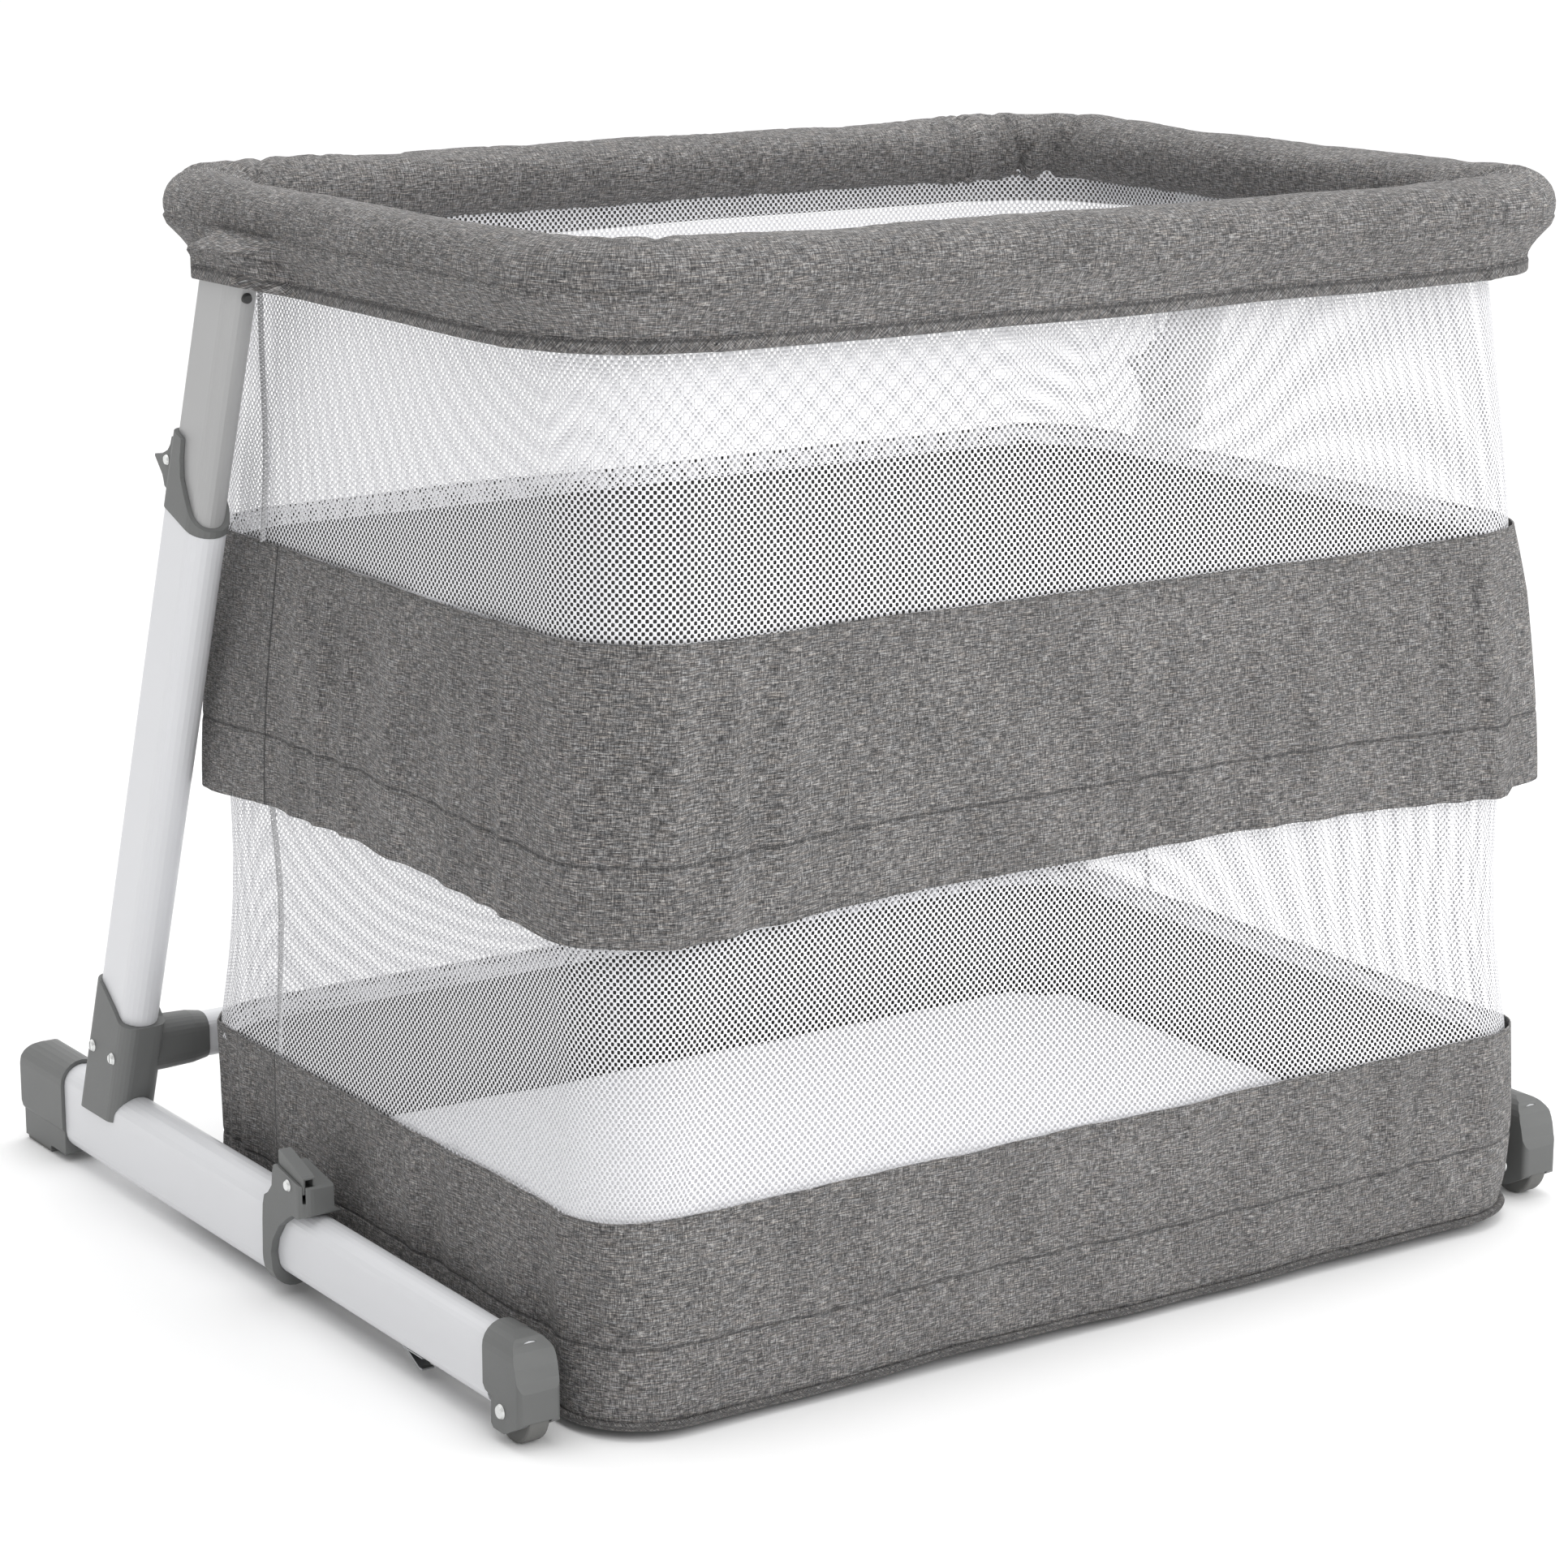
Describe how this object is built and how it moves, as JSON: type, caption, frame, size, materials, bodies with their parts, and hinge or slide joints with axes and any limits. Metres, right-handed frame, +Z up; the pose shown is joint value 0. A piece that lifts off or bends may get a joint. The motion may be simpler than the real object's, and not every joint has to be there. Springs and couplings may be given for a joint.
{
  "type": "travel play yard",
  "caption": "Play yard with a padded fabric rim on two leaning telescopic legs, net walls, a floor mattress and long wheeled feet.",
  "frame": {"origin": "centre of the overall box in plan, on the floor", "axes": "+Z up, +X along the long side of the basket, +Y towards the legs at the back"},
  "size_m": [1.0024, 0.8968, 0.851],
  "materials": {
    "white_tube": "satin white powder coat",
    "silver_tube": "satin silver powder coat",
    "zinc": "bright zinc plate",
    "grey_plastic": "fine moulded texture",
    "dark_plastic": "plain moulded",
    "grey_rubber": "matt moulded",
    "steel": "plain drawn",
    "grey_fabric": "heather weave",
    "white_net": "knitted net",
    "mattress_cover": "fine spacer mesh",
    "fibreboard": "plain board"
  },
  "bodies": {
    "frame": {"base_band": "grey_fabric", "base_board": "fibreboard", "base_glide_1": "dark_plastic", "base_glide_2": "dark_plastic", "base_glide_3": "dark_plastic", "base_glide_4": "dark_plastic", "base_piping": "grey_fabric", "clamp_screw_L": "zinc", "clamp_screw_R": "zinc", "foot_clamp_L": "grey_plastic", "foot_clamp_R": "grey_plastic", "foot_tube_L": "white_tube", "foot_tube_R": "white_tube", "knuckle_L": "grey_plastic", "knuckle_R": "grey_plastic", "knuckle_screw_L1": "zinc", "knuckle_screw_L2": "zinc", "knuckle_screw_R1": "zinc", "knuckle_screw_R2": "zinc", "latch_rivet_L": "zinc", "latch_rivet_R": "zinc", "leg_collar_L": "grey_plastic", "leg_collar_R": "grey_plastic", "leg_tube_L": "white_tube", "leg_tube_R": "white_tube", "lower_net": "white_net", "mid_band": "grey_fabric", "rear_cap_L": "grey_plastic", "rear_cap_R": "grey_plastic", "rear_crossbar": "white_tube", "rear_pad_L": "grey_rubber", "rear_pad_R": "grey_rubber"},
    "rim": {"leg_pin_L": "dark_plastic", "leg_pin_R": "dark_plastic", "rim_bracket_L": "steel", "rim_bracket_R": "steel", "rim_pad": "grey_fabric", "rim_tube": "steel", "rim_valance": "grey_fabric", "upper_net": "white_net", "upper_tube_L": "silver_tube", "upper_tube_R": "silver_tube"},
    "mattress": {"mattress": "mattress_cover"},
    "foot_ext_L": {"inner_foot_L": "white_tube", "front_cap_L": "grey_plastic", "axle_L": "zinc", "foot_leaf_L": "steel"},
    "wheel_L": {"wheel_L": "grey_rubber"},
    "leg_latch_L": {"leg_latch_L": "grey_plastic"},
    "foot_lever_L": {"foot_lever_L": "grey_plastic"},
    "foot_ext_R": {"inner_foot_R": "white_tube", "front_cap_R": "grey_plastic", "axle_R": "zinc", "foot_leaf_R": "steel"},
    "wheel_R": {"wheel_R": "grey_rubber"},
    "leg_latch_R": {"leg_latch_R": "grey_plastic"},
    "foot_lever_R": {"foot_lever_R": "grey_plastic"}
  },
  "joints": [
    {"name": "height", "type": "slide", "parent": "frame", "child": "rim", "axis": [0, -0.342, 0.9397], "range_m": [-0.1, 0], "deforming": ["upper_net"]},
    {"name": "mattress_lift", "type": "slide", "parent": "frame", "child": "mattress", "axis": [0, 0, 1], "range_m": [0, 0.25]},
    {"name": "foot_extend_L", "type": "slide", "parent": "frame", "child": "foot_ext_L", "axis": [0, 1, 0], "range_m": [0, 0.115]},
    {"name": "wheel_spin_L", "type": "hinge", "parent": "foot_ext_L", "child": "wheel_L", "pos_m": [-0.4785, -0.37, 0.025], "axis": [1, 0, 0], "continuous": true},
    {"name": "leg_latch_L", "type": "hinge", "parent": "frame", "child": "leg_latch_L", "pos_m": [-0.4785, 0.1381, 0.6338], "axis": [1, 0, 0], "range_deg": [0, 9], "stiffness_Nm_per_rad": 0.5},
    {"name": "foot_lever_L", "type": "hinge", "parent": "frame", "child": "foot_lever_L", "pos_m": [-0.4912, -0.0528, 0.1017], "axis": [1, 0, 0], "range_deg": [-12, 0], "stiffness_Nm_per_rad": 0.6},
    {"name": "foot_extend_R", "type": "slide", "parent": "frame", "child": "foot_ext_R", "axis": [0, 1, 0], "range_m": [0, 0.115]},
    {"name": "wheel_spin_R", "type": "hinge", "parent": "foot_ext_R", "child": "wheel_R", "pos_m": [0.4785, -0.37, 0.025], "axis": [1, 0, 0], "continuous": true},
    {"name": "leg_latch_R", "type": "hinge", "parent": "frame", "child": "leg_latch_R", "pos_m": [0.4785, 0.1381, 0.6338], "axis": [1, 0, 0], "range_deg": [0, 9], "stiffness_Nm_per_rad": 0.5},
    {"name": "foot_lever_R", "type": "hinge", "parent": "frame", "child": "foot_lever_R", "pos_m": [0.4912, -0.0528, 0.1017], "axis": [1, 0, 0], "range_deg": [-12, 0], "stiffness_Nm_per_rad": 0.6}
  ]
}
